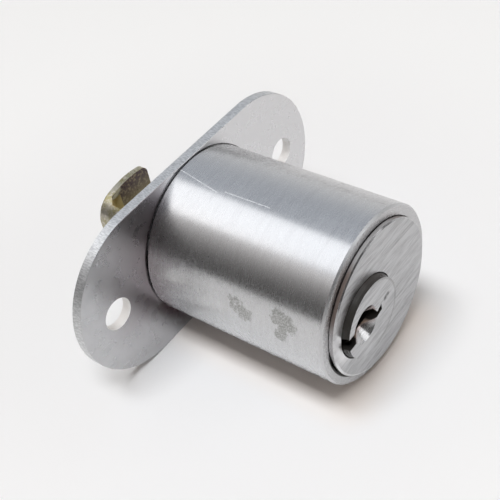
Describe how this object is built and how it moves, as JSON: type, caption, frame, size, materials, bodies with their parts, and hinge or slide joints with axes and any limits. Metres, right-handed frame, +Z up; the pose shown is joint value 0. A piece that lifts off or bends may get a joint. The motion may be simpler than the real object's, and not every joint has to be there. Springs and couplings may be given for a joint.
{
  "type": "sliding door lock",
  "caption": "Push-to-lock cabinet lock for sliding doors: round barrel on an oval flange, key plunger in front and a notched bolt behind.",
  "frame": {"origin": "middle of the flange's front face, on the barrel's axis", "axes": "the key side faces -Y, X runs along the flange through its screw holes, and +Z is up as it lies on a table"},
  "size_m": [0.0586, 0.0486, 0.029],
  "materials": {
    "barrel_chrome": "satin, brushed round the barrel",
    "face_chrome": "satin, straight hairlines",
    "flange_steel": "dull satin with sheared edges",
    "zinc_gold": "yellow zinc plate",
    "steel": "plain",
    "brass": "turned"
  },
  "bodies": {
    "housing": {"barrel": "barrel_chrome", "mounting_flange": "flange_steel", "stop_pin": "steel"},
    "plunger": {"plunger": "face_chrome", "bolt": "zinc_gold", "bolt_screws": "steel", "chamber_cover": "brass", "return_spring": "steel", "latch_spring": "steel", "driver_pin_1": "brass", "driver_pin_2": "brass", "driver_pin_3": "brass", "driver_pin_4": "brass", "driver_pin_5": "brass", "pin_spring_1": "steel", "pin_spring_2": "steel", "pin_spring_3": "steel", "pin_spring_4": "steel", "pin_spring_5": "steel"},
    "plug": {"plug": "face_chrome", "retaining_clip": "steel", "key_pin_1": "brass", "key_pin_2": "brass", "key_pin_3": "brass", "key_pin_4": "brass", "key_pin_5": "brass"},
    "latch": {"latch": "steel"}
  },
  "joints": [
    {"name": "plunger_slide", "type": "slide", "parent": "housing", "child": "plunger", "axis": [0, -1, 0], "range_m": [0, 0.011], "deforming": ["return_spring"]},
    {"name": "plug_turn", "type": "hinge", "parent": "plunger", "child": "plug", "pos_m": [-0.0039, -0.02, 0], "axis": [0, 1, 0], "range_deg": [0, 90]},
    {"name": "latch_slide", "type": "slide", "parent": "plunger", "child": "latch", "axis": [0, 0, -1], "range_m": [0, 0.00126], "deforming": ["latch_spring"]}
  ],
  "couplings": [
    {"joint": "latch_slide", "follows": "plug_turn", "m_per_rad": 0.00079577}
  ]
}
